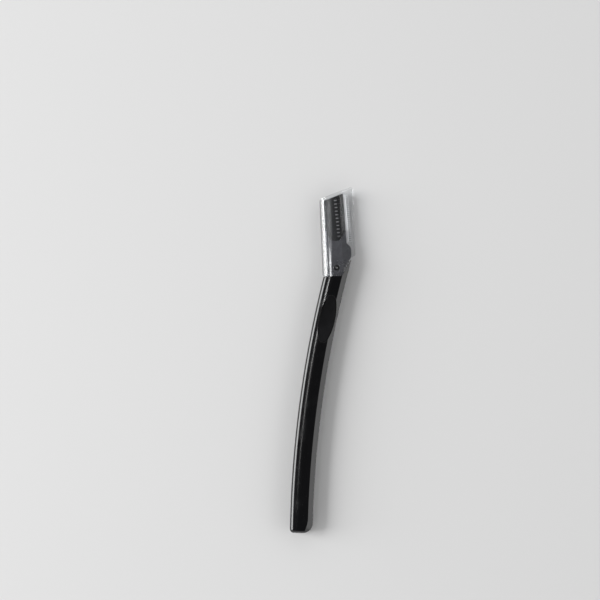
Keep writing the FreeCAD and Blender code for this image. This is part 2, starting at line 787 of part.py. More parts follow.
def peg_circles(sketch, radius):
    """Three pegs in a row along the blade, the middle one half way between the others."""
    top, low = blade_end - dim("peg_top"), dim("peg_low") - blade_end
    for y in (top, (top + low) / 2, low):
        circle(sketch, -dim("peg_back"), y, radius)


def head_frame():
    body = new_body("head_frame")
    section_bar(body, neck_inset, neck_round, dim("mouth_rise"))
    foot_x = tip_x - dim("stop_foot")
    foot_y = dim("tip_y") - dim("stop_foot") * mouth_slope
    stop_x = lip_low + dim("blade_edge") - dim("stop_back")
    stop_top = dim("blade_low") - dim("stop_gap")
    stop_high = stop_top - dim("stop_brow")
    plan = new_sketch(body, "plan")
    frame_outline(plan, [
        (cap_left, dim("mouth_rise")),
        (mouth_corner, dim("mouth_rise")),
        (foot_x, foot_y),
        (stop_x, stop_high - dim("stop_height"), dim("stop_round")),
        (stop_x, stop_high, dim("stop_round")),
        (lip_at(stop_top), stop_top),
        (lip_top, head_top(lip_top)),
        (cap_left, head_top(cap_left)),
    ])
    cut(body, plan, "plan_cut", both=True)

    # Above the U-shaped line only a plate is left, with a bevel on its back.
    above = new_sketch(body, "front_step")
    place(above, "AttachmentOffset", z=half_blade)
    outline(above, carrier_waste())
    cut(body, above, "front_step_cut", up=True)
    below = new_sketch(body, "back_step")
    place(below, "AttachmentOffset", z=-carrier_half)
    outline(below, carrier_waste())
    cut(body, below, "back_step_cut")
    bevel = new_sketch(body, "back_bevel", "XZ_Plane")
    place(bevel, "AttachmentOffset", x=lip_at(horn_y), z=-horn_y, angle=tilt, axis=(0, 1, 0))
    lip_bevel(bevel)
    cut(body, bevel, "back_bevel_cut")

    # The blade slides in from the cutting side: a seat on the plate, a slit in the neck.
    seat = new_sketch(body, "blade_seat")
    place(seat, "AttachmentOffset", dim("lip_x"), blade_mid, angle=tilt)
    outline(seat, blade_outline(dim("blade_fit"), fin_x))
    cut(body, seat, "blade_seat_cut", dim("blade_thick"), both=True)
    sockets = new_sketch(body, "peg_sockets")
    place(sockets, "AttachmentOffset", dim("lip_x"), blade_mid, -half_blade, tilt)
    peg_circles(sockets, dim("peg_radius") + dim("peg_fit"))
    cut(body, sockets, "peg_socket_cut", dim("peg_grip") + dim("peg_fit"))

    tang = new_sketch(body, "tang")
    place(tang, "AttachmentOffset", angle=bend, axis=(0, 0, -1))
    outline(tang, tang_outline(size(0)))
    pad(body, tang, "tang_bar", dim("tang_thick"), both=True)
    holes = new_sketch(body, "tang_holes")
    place(holes, "AttachmentOffset", angle=bend, axis=(0, 0, -1))
    pin_circles(holes, tang_pins, dim("pin_radius") + dim("pin_fit"))
    cut(body, holes, "tang_hole_cut", both=True)

    socket = new_sketch(body, "socket")
    place(socket, "AttachmentOffset", z=neck_face - dim("socket_depth"))
    circle(socket, dim("snap_x"), snap_y, dim("socket_radius"))
    cut(body, socket, "socket_cut", up=True)
    return body


def blade_outline(gap, edge, corner=()):
    """The blade in its own axes, grown by the gap. Its upper end slants with the cap's top."""
    back = dim("blade_spine") + gap
    low, high = -(blade_end + gap), blade_end + gap
    return [
        (-back, low),
        (edge, low, *corner),
        (edge, high, *corner),
        (0, high),
        (-back, high - back * tangent(dim("top_slant"))),
    ]


def blade_cover():
    """The plate over the blade: its pegs pass the blade and end in the frame."""
    body = new_body("blade_cover")
    on_blade(body)
    left = cap_left + neck_inset + dim("cover_inset") - dim("lip_x")
    section = new_sketch(body, "section", "XZ_Plane")
    outline(section, [
        (left, half_blade),
        (0, half_blade),
        (0, half_blade + dim("lip_height")),
        (-dim("bevel_reach"), carrier_half),
        (left, carrier_half, dim("cover_round")),
    ])
    pad(body, section, "bar", dim("blade_length") * 2, both=True)
    plan = new_sketch(body, "plan")
    in_head_axes(plan)
    top = [(fin_x, head_top(fin_x)), (cap_left, head_top(cap_left))]
    frame_outline(plan, throat_corners(dim("cover_fit")) + top)
    cut(body, plan, "plan_cut", both=True)
    pegs = new_sketch(body, "pegs")
    place(pegs, "AttachmentOffset", z=-(half_blade + dim("peg_grip")))
    peg_circles(pegs, dim("peg_radius"))
    pad(body, pegs, "peg_posts", dim("blade_thick") + dim("peg_grip") + dim("lip_height"))
    return body


def blade():
    body = new_body("blade")
    on_blade(body)
    edge, corner = dim("blade_edge"), dim("blade_corner")
    plan = new_sketch(body, "plan")
    outline(plan, blade_outline(size(0), edge, (corner,)))
    pad(body, plan, "strip", dim("blade_thick"), both=True)
    grind = new_sketch(body, "grind", "XZ_Plane")
    start = edge - dim("blade_grind")
    land = dim("edge_land") / 2
    for side in (-1, 1):
        outline(grind, [
            (start, half_blade * side),
            (edge, land * side),
            (edge + corner, land * side),
            (edge + corner, dim("blade_thick") * side),
            (start, dim("blade_thick") * side),
        ])
    cut(body, grind, "grind_cut", both=True)
    holes = new_sketch(body, "peg_holes")
    peg_circles(holes, dim("peg_radius") + dim("peg_fit"))
    cut(body, holes, "peg_hole_cut", both=True)
    return body


def guard_comb():
    """Thin sheet folded round the cutting edge, with a slot at every gap between the teeth."""
    body = new_body("guard_comb")
    on_blade(body)
    back = dim("blade_edge") - dim("comb_leaf")
    inside, outside = comb_inside, comb_outside
    outer = half_blade + dim("comb_sheet")
    length = dim("blade_length") - dim("comb_short") * 2
    fold = new_sketch(body, "fold", "XZ_Plane")
    outline(fold, [
        (back, half_blade),
        (inside, half_blade),
        (inside, -half_blade),
        (back, -half_blade),
        (back, -outer),
        (outside, -outer, dim("comb_round")),
        (outside, outer, dim("comb_round")),
        (back, outer),
    ])
    pad(body, fold, "strip", length, both=True)
    slot = new_sketch(body, "slot")
    steps = whole((length - dim("comb_margin") * 2) / dim("tooth_pitch"))
    span = dim("tooth_pitch") * steps
    half_slot = dim("slot_width") / 2
    first = -(span / 2)
    root, clear = outside - dim("slot_depth"), outside + dim("slot_depth")
    outline(slot, [
        (root, first - half_slot),
        (clear, first - half_slot),
        (clear, first + half_slot),
        (root, first + half_slot),
    ])
    gap = cut(body, slot, "slot_cut", both=True)
    row = body.newObject("PartDesign::LinearPattern", "guard_comb_slots")
    row.Originals = [gap]
    axis = next(item for item in body.Origin.OriginFeatures if item.Role == "Y_Axis")
    row.Direction = (axis, [""])
    row.setExpression("Length", span.text)
    row.setExpression("Occurrences", (steps + 1).text)
    body.Tip = row
    return body


def cap():
    """A clear sleeve: the outside less the core that the mould leaves."""
    gap, corner = dim("mouth_gap"), dim("cap_corner")
    mouth = dim("mouth_rise") + gap
    outside = new_body("cap_outside")
    section_bar(outside, size(0), cap_round, size(0))
    plan = new_sketch(outside, "plan")
    frame_outline(plan, [
        (cap_left, mouth),
        (mouth_corner - gap / mouth_slope, mouth),
        (tip_x, dim("tip_y") + gap * 2),
        (fin_x, dim("fin_low"), corner),
        (fin_x, cap_top(fin_x), corner),
        (cap_left, cap_top(cap_left), corner),
    ])
    cut(outside, plan, "plan_cut", both=True)
    dimple = new_sketch(outside, "dimple")
    place(dimple, "AttachmentOffset", z=cap_face - dim("dimple_depth"))
    circle(dimple, dim("snap_x"), snap_y, dim("dimple_radius"))
    cut(outside, dimple, "dimple_cut", up=True)

    core = new_body("cap_core")
    section_bar(core, dim("cap_wall"), cap_round - dim("cap_wall"), size(0))
    roof = new_sketch(core, "roof")
    left, right, far = cap_left * 2, fin_x * 2, cap_top(fin_x * 2) * 2
    outline(roof, [
        (left, cap_top(left) - roof_drop),
        (right, cap_top(right) - roof_drop),
        (right, far),
        (left, far),
    ])
    cut(core, roof, "roof_cut", both=True)
    pip = new_sketch(core, "pip")
    place(pip, "AttachmentOffset", z=cap_face - dim("cap_wall") - dim("pip_height"))
    circle(pip, dim("snap_x"), snap_y, dim("pip_radius"))
    cut(core, pip, "pip_cut", up=True)
    sleeve = doc.addObject("Part::Cut", "cap")
    sleeve.Base = outside
    sleeve.Tool = core
    sleeve.Label = "cap"
    return sleeve


pieces = [
    handle_shell("handle_front_shell", 1),
    handle_shell("handle_back_shell", -1),
    inlay_pad("thumb_pad", 1),
    inlay_pad("finger_pad", -1),
    head_frame(),
    blade_cover(),
    blade(),
    guard_comb(),
    cap(),
]
doc.recompute()

# Nothing is written unless every feature built and every cut took something away.
for item in doc.Objects:
    if "Invalid" in item.State or "Error" in item.State:
        raise RuntimeError(f"{item.Label}: {item.State}")
    takes = any(item.isDerivedFrom(f"PartDesign::{kind}") for kind in ("Pocket", "Groove", "SubtractivePipe"))
    if takes and item.Shape.Volume >= item.BaseFeature.Shape.Volume:
        raise RuntimeError(f"{item.Label} cuts nothing")
for piece in pieces:
    shape = piece.Shape
    if shape.isNull() or not shape.isValid() or len(shape.Solids) != 1:
        raise RuntimeError(f"{piece.Label}: not one sound solid")

os.makedirs("parts", exist_ok=True)
for piece in pieces:
    piece.Shape.exportStep(f"parts/{piece.Label}.step")
    box = piece.Shape.optimalBoundingBox()
    print(f"{piece.Label}: {piece.Shape.Volume:.1f} mm3, "
          f"x {box.XMin:.2f} to {box.XMax:.2f}, y {box.YMin:.2f} to {box.YMax:.2f}, "
          f"z {box.ZMin:.2f} to {box.ZMax:.2f}")
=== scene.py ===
import bpy
import bmesh
import json
import math
from mathutils import Matrix, Vector


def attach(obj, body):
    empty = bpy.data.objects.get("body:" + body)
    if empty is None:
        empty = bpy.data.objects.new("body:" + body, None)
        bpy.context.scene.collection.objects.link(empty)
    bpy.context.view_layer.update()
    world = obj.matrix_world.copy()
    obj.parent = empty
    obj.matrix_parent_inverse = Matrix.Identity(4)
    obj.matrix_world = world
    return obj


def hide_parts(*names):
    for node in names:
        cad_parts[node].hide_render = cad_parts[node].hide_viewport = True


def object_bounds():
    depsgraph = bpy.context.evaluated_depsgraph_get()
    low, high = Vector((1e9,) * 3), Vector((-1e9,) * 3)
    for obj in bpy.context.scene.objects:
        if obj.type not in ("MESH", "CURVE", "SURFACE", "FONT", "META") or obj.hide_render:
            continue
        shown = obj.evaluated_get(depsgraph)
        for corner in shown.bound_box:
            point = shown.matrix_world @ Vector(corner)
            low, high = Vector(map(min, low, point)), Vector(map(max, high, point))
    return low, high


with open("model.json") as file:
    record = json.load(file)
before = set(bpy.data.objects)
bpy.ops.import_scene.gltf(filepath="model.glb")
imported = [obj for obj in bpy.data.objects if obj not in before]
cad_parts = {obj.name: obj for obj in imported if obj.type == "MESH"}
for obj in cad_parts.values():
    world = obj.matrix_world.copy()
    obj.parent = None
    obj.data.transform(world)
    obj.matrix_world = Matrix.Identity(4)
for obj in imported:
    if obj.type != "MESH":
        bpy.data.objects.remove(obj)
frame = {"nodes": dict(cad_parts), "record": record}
cadLow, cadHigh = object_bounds()
scene = bpy.context.scene
scene.view_settings.view_transform = "Standard"
mm = 0.001                                   # sizes below are in millimetres
slotOf = {row["node"]: row["material_slot"] for row in frame["record"]["subparts"]}
print("frame loaded:", ", ".join(sorted(frame["nodes"])))


# a shader socket that takes part in sums
class Value:
    def __init__(self, finish, socket):
        self.finish, self.socket = finish, socket

    def sum(self, operation, *parts):
        return self.finish.add("ShaderNodeMath", {"operation": operation}, dict(enumerate(parts)))

    def __add__(self, other):
        return self.sum("ADD", self, other)

    def __radd__(self, other):
        return self.sum("ADD", other, self)

    def __sub__(self, other):
        return self.sum("SUBTRACT", self, other)

    def __rsub__(self, other):
        return self.sum("SUBTRACT", other, self)

    def __mul__(self, other):
        return self.sum("MULTIPLY", self, other)

    def __rmul__(self, other):
        return self.sum("MULTIPLY", other, self)

    def above(self, start, end):             # 0 at start, 1 at end
        return self.finish.add("ShaderNodeMapRange", {"interpolation_type": "SMOOTHSTEP"},
                               {"Value": self, "From Min": start, "From Max": end})

    def most(self, other):
        return self.sum("MAXIMUM", self, other)


# the node tree of one material, or of the world
class Finish:
    def __init__(self, owner):
        owner.use_nodes = True
        self.owner, self.tree = owner, owner.node_tree
        self.tree.nodes.clear()

    def add(self, kind, settings=None, sockets=None, out=0):
        node = self.tree.nodes.new(kind)
        for name, setting in (settings or {}).items():
            setattr(node, name, setting)
        for name, value in (sockets or {}).items():
            self.plug(node.inputs[name], value)
        return Value(self, node.outputs[out]) if node.outputs else None

    def plug(self, socket, value):
        if isinstance(value, Value):
            self.tree.links.new(value.socket, socket)
        elif socket.type == "RGBA":
            socket.default_value = (*value, 1)
        else:
            socket.default_value = value

    def place(self, turn=0.0, stretch=(1, 1, 1)):
        # millimetres from the origin, turned about Z and squeezed along each axis
        spot = self.add("ShaderNodeTexCoord", out="Object")
        upright = self.add("ShaderNodeVectorRotate", {"rotation_type": "Z_AXIS"},
                           {"Vector": spot, "Angle": math.radians(turn)})
        return self.add("ShaderNodeMapping", {},
                        {"Vector": upright, "Scale": [part / mm for part in stretch]})

    def part(self, place, axis):
        return self.add("ShaderNodeSeparateXYZ", {}, {"Vector": place}, axis)

    def noise(self, place, scale, detail=2.0, roughness=0.5):
        return self.add("ShaderNodeTexNoise", {}, {"Vector": place, "Scale": scale,
                                                   "Detail": detail, "Roughness": roughness})

    def pattern(self, spec):                 # noise, turned and squeezed as its spec says
        place = self.place(spec.get("turn", 0), spec.get("stretch", (1, 1, 1)))
        return self.noise(place, *spec["noise"])

    def patches(self, spec):                 # the same, cut to the range between two levels
        return self.pattern(spec).above(*spec["at"])

    def grains(self, place, scale):
        return self.add("ShaderNodeTexVoronoi", {"feature": "SMOOTH_F1"},
                        {"Vector": place, "Scale": scale})

    def mix(self, share, one, two):
        return self.add("ShaderNodeMix", {"data_type": "RGBA"}, {0: share, 6: one, 7: two}, 2)

    def bump(self, height, depth):           # depth in millimetres
        return self.add("ShaderNodeBump", {},
                        {"Height": height, "Strength": 1.0, "Distance": depth * mm})

    def shader(self, **sockets):
        named = {name.replace("_", " "): value for name, value in sockets.items()}
        return self.add("ShaderNodeBsdfPrincipled", {}, named)

    def end(self, shader):
        kind = "World" if isinstance(self.owner, bpy.types.World) else "Material"
        self.add(f"ShaderNodeOutput{kind}", {}, {"Surface": shader})
        return self.owner


def newFinish(name):
    return Finish(bpy.data.materials.new(name))


# in every finish: "noise" is scale, detail and roughness, "at" the levels of none and full,
# "rough" what a pattern adds to the roughness, "depth" its height as a bump

# polished black of the handle: smudges, hairline scratches and a little dust
def blackGloss():
    spec = {
        "colour": (0.0045, 0.0045, 0.005), "roughness": 0.13, "ior": 1.5, "depth": 0.006,
        "smudge": {"noise": (0.16, 4, 0.6), "at": (0.45, 0.72), "rough": 0.1},
        "scratch": {"noise": (1.0, 3, 0.7), "at": (0.62, 0.8), "turn": 12, "stretch": (9, 0.25, 2),
                    "rough": 0.05, "share": 0.03},
        "dust": {"noise": (2.6, 1), "at": (0.76, 0.82), "rough": 0.2, "colour": (0.05, 0.05, 0.05)},
        "wave": {"noise": (0.35, 1)},
        "ripple": {"noise": (14, 2), "share": 0.05},
    }
    f = newFinish("black_gloss")
    smudge, scratch, dust = (f.patches(spec[name]) for name in ("smudge", "scratch", "dust"))
    wave = f.pattern(spec["wave"]) + f.pattern(spec["ripple"]) * spec["ripple"]["share"]
    return f.end(f.shader(
        Base_Color=f.mix(dust, spec["colour"], spec["dust"]["colour"]),
        Roughness=(smudge * spec["smudge"]["rough"] + scratch * spec["scratch"]["rough"]
                   + dust * spec["dust"]["rough"] + spec["roughness"]),
        IOR=spec["ior"],
        Normal=f.bump(wave - scratch * spec["scratch"]["share"], spec["depth"]),
    ))


# soft-touch black of the pads: fine stipple and paler worn patches; a painted sheen makes them paler
# towards the lower end, and they are shinier there
def softPad():
    spec = {
        "colour": (0.0022, 0.0022, 0.0026), "roughness": 0.3, "specular": 0.4,
        "wearAndPaintedSheen": {"colour": (0.0105, 0.0105, 0.0115), "along": (-11, -26), "share": 0.6, "rough": -0.06},
        "cloud": {"noise": (0.3, 4, 0.6), "at": (0.3, 0.7), "share": 0.4},
        "stipple": {"scale": 5.5, "rough": 0.1, "depth": 0.008},
    }
    f = newFinish("soft_touch")
    spot = f.place()
    # painted sheen: the colour grows paler towards the pad's lower end, where its dish faces the light
    lower = f.part(spot, 1).above(*spec["wearAndPaintedSheen"]["along"])
    wearAndPaintedSheen = f.patches(spec["cloud"]) * spec["cloud"]["share"] + lower * spec["wearAndPaintedSheen"]["share"]
    stipple = f.grains(spot, spec["stipple"]["scale"])
    return f.end(f.shader(
        Base_Color=f.mix(wearAndPaintedSheen, spec["colour"], spec["wearAndPaintedSheen"]["colour"]),
        Roughness=(wearAndPaintedSheen * spec["wearAndPaintedSheen"]["rough"] + stipple * spec["stipple"]["rough"]
                   + spec["roughness"]),
        Specular_IOR_Level=spec["specular"],
        Normal=f.bump(stipple, spec["stipple"]["depth"]),
    ))


# satin grey of the neck: moulded grain and soft mottling, polished towards the handle; painted
# highlights on the rim round the cover's end and at the snap socket's centre, painted shade inside the
# socket
def neckSatin():
    spec = {
        "colour": (0.06, 0.06, 0.067), "light": (0.076, 0.076, 0.084), "roughness": 0.17,
        "mottle": {"noise": (0.4, 5, 0.6), "at": (0.3, 0.75), "rough": 0.06},
        "grain": {"noise": (7, 3, 0.6), "depth": 0.0009},
        "smooth": {"along": (17, 8), "rough": -0.1},
        "coat": {"along": (15.5, 7), "across": (-2.9, -2.3), "roughness": 0.08, "ior": 2.2},
        # rim: a painted highlight on the faces that face along +Y, round the cover's end
        "rim": {"facing": (0.15, 0.4), "colour": (0.45, 0.45, 0.46)},      # round the cover's end
        # painted shade inside the snap socket, and a painted highlight at its centre
        "socket": {"reach": (1.3, 1.15), "colour": (0.001, 0.001, 0.001), "place": (1.2, 5.15)},
        "centre": {"reach": (0.48, 0.28), "colour": (0.4, 0.4, 0.41)},
    }
    f = newFinish("neck_satin")
    spot = f.place()
    across, along = f.part(spot, 0), f.part(spot, 1)
    mottle = f.pattern(spec["mottle"])
    shade = f.mix(mottle.above(*spec["mottle"]["at"]), spec["colour"], spec["light"])
    # painted highlight on faces that face along +Y, such as the rim round the cover's end
    facing = f.part(f.add("ShaderNodeTexCoord", out="Normal"), 1)
    shade = f.mix(facing.above(*spec["rim"]["facing"]), shade, spec["rim"]["colour"])
    plan = f.add("ShaderNodeVectorMath", {"operation": "MULTIPLY_ADD"},
                 {0: spot, 1: (1, 1, 0), 2: [-part for part in spec["socket"]["place"]] + [0]})
    reach = f.add("ShaderNodeVectorMath", {"operation": "LENGTH"}, {0: plan}, "Value")
    # painted shade in the snap socket, and a painted highlight at its centre
    for paintedRing in ("socket", "centre"):
        shade = f.mix(reach.above(*spec[paintedRing]["reach"]), shade, spec[paintedRing]["colour"])
    smooth, coat = spec["smooth"], spec["coat"]
    return f.end(f.shader(
        Base_Color=shade,
        Roughness=(mottle * spec["mottle"]["rough"] + along.above(*smooth["along"]) * smooth["rough"]
                   + spec["roughness"]),
        Coat_Weight=along.above(*coat["along"]) * across.above(*coat["across"]),
        Coat_Roughness=coat["roughness"],
        Coat_IOR=coat["ior"],
        Normal=f.bump(f.pattern(spec["grain"]), spec["grain"]["depth"]),
    ))


# satin black of the cover, with faint flow lines from moulding; a painted sheen, streaked by the flow
# lines, makes it paler towards the left
def coverSatin():
    spec = {
        "colour": (0.014, 0.014, 0.015), "light": (0.07, 0.072, 0.074), "roughness": 0.19,
        "depth": 0.003,
        "paintedSheen": {"turn": -2, "across": (3.5, -3.5), "least": 0.5},
        "flow": {"noise": (0.9, 3, 0.6), "turn": -2, "stretch": (1.6, 0.16, 1), "rough": 0.08},
        "grain": {"noise": (8, 3, 0.6), "share": 0.67},
    }
    f = newFinish("cover_satin")
    flow = f.pattern(spec["flow"])
    # painted sheen: the colour goes paler towards the left, streaked by the flow lines
    left = f.part(f.place(spec["paintedSheen"]["turn"]), 0).above(*spec["paintedSheen"]["across"])
    return f.end(f.shader(
        Base_Color=f.mix(left * (flow + spec["paintedSheen"]["least"]), spec["colour"], spec["light"]),
        Roughness=flow * spec["flow"]["rough"] + spec["roughness"],
        Normal=f.bump(f.pattern(spec["grain"]) * spec["grain"]["share"] + flow, spec["depth"]),
    ))


# steel strip brushed along its length, with a darker and finer ground edge
def bladeSteel():
    spec = {
        "colour": (0.84, 0.85, 0.86), "light": (0.97, 0.97, 0.98), "roughness": 0.45, "metal": 0.22,
        "brush": {"noise": (11, 3, 0.65), "at": (0.3, 0.7), "turn": -2, "stretch": (1, 0.035, 1),
                  "rough": 0.16, "depth": 0.02},
        "ground": {"turn": -2, "across": (7.35, 7.45), "colour": (0.32, 0.33, 0.35), "rough": -0.25},
    }
    f = newFinish("blade_steel")
    brush = f.pattern(spec["brush"])
    shade = f.mix(brush.above(*spec["brush"]["at"]), spec["colour"], spec["light"])
    ground = f.part(f.place(spec["ground"]["turn"]), 0).above(*spec["ground"]["across"])
    return f.end(f.shader(
        Base_Color=f.mix(ground, shade, spec["ground"]["colour"]),
        Metallic=ground * (1 - spec["metal"]) + spec["metal"],
        Roughness=(brush * spec["brush"]["rough"] + ground * spec["ground"]["rough"]
                   + spec["roughness"]),
        Normal=f.bump(brush, spec["brush"]["depth"]),
    ))


# one pattern that both tints and roughens: the comb's brushing, the rubbing of the ribs
def rubbedFinish(name, spec):
    f = newFinish(name)
    rub = f.pattern(spec)
    return f.end(f.shader(
        Base_Color=f.mix(rub.above(*spec["at"]), spec["colour"], spec["light"]),
        Metallic=spec["metal"],
        Roughness=rub * spec["rough"] + spec["roughness"],
        Normal=f.bump(rub, spec["depth"]),
    ))


# bright folded sheet of the comb, brushed across the teeth
combSteel = {"colour": (0.86, 0.87, 0.88), "light": (0.97, 0.97, 0.98), "roughness": 0.4, "metal": 0.18,
             "noise": (9, 3, 0.65), "at": (0.3, 0.7), "turn": -2, "stretch": (0.08, 1, 1),
             "rough": 0.2, "depth": 0.02}
# pale satin of the ribs, a little rubbed
ribPale = {"colour": (0.13, 0.13, 0.135), "light": (0.24, 0.24, 0.25), "roughness": 0.3, "metal": 0.0,
           "noise": (1.6, 4, 0.6), "at": (0.35, 0.65), "rough": 0.2, "depth": 0.01}


# clear moulded plastic: a faint haze, hairline scratches, light passes to what it covers
def capClear():
    spec = {
        "colour": (0.96, 0.965, 0.97), "shade": (0.96, 0.965, 0.97), "clear": 0.997,
        "roughness": 0.02, "ior": 1.49, "depth": 0.01,
        "haze": {"noise": (0.25, 4, 0.6), "at": (0.4, 0.8), "rough": 0.05},
        "scratch": {"noise": (1.0, 3, 0.7), "at": (0.66, 0.8), "turn": 20, "stretch": (7, 0.3, 3),
                    "rough": 0.1, "share": 0.05},
        "wave": {"noise": (0.5, 2)},
    }
    f = newFinish("cap_clear")
    haze, scratch = f.patches(spec["haze"]), f.patches(spec["scratch"])
    wave = f.pattern(spec["wave"]) - scratch * spec["scratch"]["share"]
    glass = f.shader(
        Base_Color=spec["colour"],
        Roughness=(haze * spec["haze"]["rough"] + scratch * spec["scratch"]["rough"]
                   + spec["roughness"]),
        IOR=spec["ior"],
        Transmission_Weight=spec["clear"],
        Normal=f.bump(wave, spec["depth"]),
    )
    through = f.add("ShaderNodeBsdfTransparent", {}, {"Color": spec["shade"]})
    shadow = f.add("ShaderNodeLightPath", out="Is Shadow Ray")
    diffuse = f.add("ShaderNodeLightPath", out="Is Diffuse Ray")
    return f.end(f.add("ShaderNodeMixShader", {}, {0: shadow.most(diffuse), 1: glass, 2: through}))


finishes = {
    "handle_gloss": blackGloss(),
    "soft_pad": softPad(),
    "neck_satin": neckSatin(),
    "cover_dark": coverSatin(),
    "blade_steel": bladeSteel(),
    "comb_steel": rubbedFinish("comb_steel", combSteel),
    "cap_clear": capClear(),
}
print("finishes made:", len(finishes))


def newPiece(name, bm, body, slot, finish=None):
    for face in bm.faces:
        face.smooth = True
    mesh = bpy.data.meshes.new(name)
    bm.to_mesh(mesh)
    bm.free()
    mesh.materials.append(finish or finishes[slot])
    piece = bpy.data.objects.new(name, mesh)
    scene.collection.objects.link(piece)
    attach(piece, body)
    return piece


# sharp edges over the limit in degrees are rounded, apart from those at the spared vertices
def roundEdges(bm, limit, radius, segments=2, spared=frozenset(), weld=0.002):
    edges = [edge for edge in bm.edges if edge.is_manifold and spared.isdisjoint(edge.verts)
             and edge.calc_face_angle() > math.radians(limit)]
    bmesh.ops.bevel(bm, geom=edges, offset=radius * mm, offset_type="OFFSET", segments=segments,
                    profile=0.5, affect="EDGES", clamp_overlap=True, material=-1)
    bmesh.ops.remove_doubles(bm, verts=bm.verts[:], dist=weld * mm)


def evenShading(piece, limit=35, weight=80):
    piece.data.set_sharp_from_angle(angle=math.radians(limit))
    shading = piece.modifiers.new("even_shading", "WEIGHTED_NORMAL")
    shading.weight, shading.keep_sharp = weight, True


def joinRings(bm, one, two):
    for corners in zip(one, one[1:] + one[:1], two[1:] + two[:1], two):
        bm.faces.new(corners)


# handle: two half shells, described across it, along its bow and up from the middle plane
bowSpec = {"radius": 485.0, "bend": 16.6, "middle": 3.5}
bendSin = math.sin(math.radians(bowSpec["bend"]))
bendCos = math.cos(math.radians(bowSpec["bend"]))


def onHandle(across, along, up, side):
    reach = bowSpec["radius"] - across
    turn = max(along, 0) / bowSpec["radius"]
    x = bowSpec["radius"] - reach * math.cos(turn)
    y = -reach * math.sin(turn) - min(along, 0)        # straight on before the bow starts
    z = bowSpec["middle"] + side * up
    return Vector((x * bendCos + y * bendSin, y * bendCos - x * bendSin, z)) * mm


shellSpec = {
    "half": 5.0, "tail": 112.0, "face": 3.5, "edge": 0.14, "edgeSegments": 3, "sharp": 20,
    "spine": 2.0, "spineUp": 1.055, "spineStep": 5, "slope": 15, "slopeMiddle": -3.2,
    "crown": 10.0, "crownEnd": -0.28, "crownStep": 2,
    "faceShares": (0.0, 0.2, 0.4, 0.6, 0.8, 0.92, 1.0),
    "crease": 2.85, "bevel": 33.0, "bevelLeast": 0.6, "turn": 14.0, "turnFrom": 105.0, "turnRows": 14,
    "bevelShares": (0.12, 0.25, 0.4, 0.55, 0.7, 0.865, 1.0),
    "bladeCorner": 4.4, "spineCorner": 1.8, "roll": 1.4, "rollStep": 10,
    "mouth": 1.5, "tip": 8.4, "tipFlat": 0.3, "evenFrom": 5.0,
    "mouthShares": (0, 0.05, 0.12, 0.22, 0.34, 0.48, 0.64, 0.82),
    # hollows, cut from below the middle plane
    "cutFrom": -1.0, "bandHalf": 3.3, "bandUp": 1.0, "bandRows": 12,
    "bands": ((15.0, 42.667), (48.667, 73.333), (79.333, 107.0)),
    "slotHalf": 2.58, "slotFrom": -4.0, "slotEnd": 12.08, "slotUp": 1.18,
    "pins": (3.2, 8.6, 45.667, 76.333), "pin": 1.0, "pinFit": 0.05, "pinUp": 1.3, "pinRoot": 1.48,
}


def tailCorner(along, radius):
    past = along - shellSpec["tail"] + radius
    return radius - math.sqrt(max(radius ** 2 - past ** 2, 0)) if past > 0 else 0.0


def creaseDistance(across, along):
    past = along - shellSpec["turnFrom"]
    if past <= 0:
        return across - shellSpec["crease"]
    inner = shellSpec["crease"] - shellSpec["turn"]
    return math.hypot(across - inner, past) - shellSpec["turn"]


def faceHeight(across, along):
    s = shellSpec
    slope, bevel = math.radians(s["slope"]), math.radians(s["bevel"])
    spineX = s["spine"] - s["half"]
    arcEnd = spineX - s["spine"] * math.sin(slope)
    crownStart = s["crownEnd"] - s["crown"] * math.sin(slope)
    if across < arcEnd:
        height = s["spineUp"] + math.sqrt(max(s["spine"] ** 2 - (across - spineX) ** 2, 0))
    elif across < crownStart:
        height = s["spineUp"] + s["spine"] * math.cos(slope) + (across - arcEnd) * math.tan(slope)
    elif across < s["crownEnd"]:
        rise = math.sqrt(s["crown"] ** 2 - (across - s["crownEnd"]) ** 2)
        height = s["face"] - s["crown"] + rise
    else:
        height = s["face"]
    height = min(height, s["face"] - creaseDistance(across, along) * math.tan(bevel))
    return height - tailCorner(along, s["roll"])


# where the shell begins: square to the head, then slanted up to the tip on the blade side
def mouthAlong(across):
    s = shellSpec
    square = (s["mouth"] + across * bendSin) / bendCos
    if across <= s["crease"]:
        return -square
    foot = (s["mouth"] + s["crease"] * bendSin) / bendCos
    footX = s["crease"] * bendCos + foot * bendSin
    top = (s["tip"] + s["half"] * bendSin) / bendCos
    topX = s["half"] * bendCos + top * bendSin - s["tipFlat"]
    rise = (s["tip"] - s["mouth"]) / (topX - footX)
    climb = s["mouth"] + rise * (across * bendCos - footX) + across * bendSin
    slant = climb / (bendCos - rise * bendSin)
    return -min(slant, (s["tip"] + across * bendSin) / bendCos)


def shellColumns():
    # places across the handle to the left of its face: spine arc, shoulder, crown
    s = shellSpec
    spineTurns = range(0, 91 - s["slope"], s["spineStep"])
    crownTurns = range(s["slope"], 0, -s["crownStep"])
    spineX = s["spine"] - s["half"]
    columns = [spineX - s["spine"] * math.cos(math.radians(turn)) for turn in spineTurns]
    columns.append(s["slopeMiddle"])
    return columns + [s["crownEnd"] - s["crown"] * math.sin(math.radians(turn)) for turn in crownTurns]


def shellRow(along):
    s = shellSpec
    low = -s["half"] + tailCorner(along, s["spineCorner"])
    high = s["half"] - tailCorner(along, s["bladeCorner"])
    past = max(along - s["turnFrom"], 0)
    crease = s["crease"] - s["turn"] + math.sqrt(s["turn"] ** 2 - past ** 2)
    crease = min(crease, high - s["bevelLeast"])
    squeeze = (s["crownEnd"] - low) / (s["crownEnd"] + s["half"])
    row = [s["crownEnd"] - (s["crownEnd"] - across) * squeeze for across in shellColumns()]
    row += [s["crownEnd"] + (crease - s["crownEnd"]) * share for share in s["faceShares"]]
    return row + [crease + (high - crease) * share for share in s["bevelShares"]]


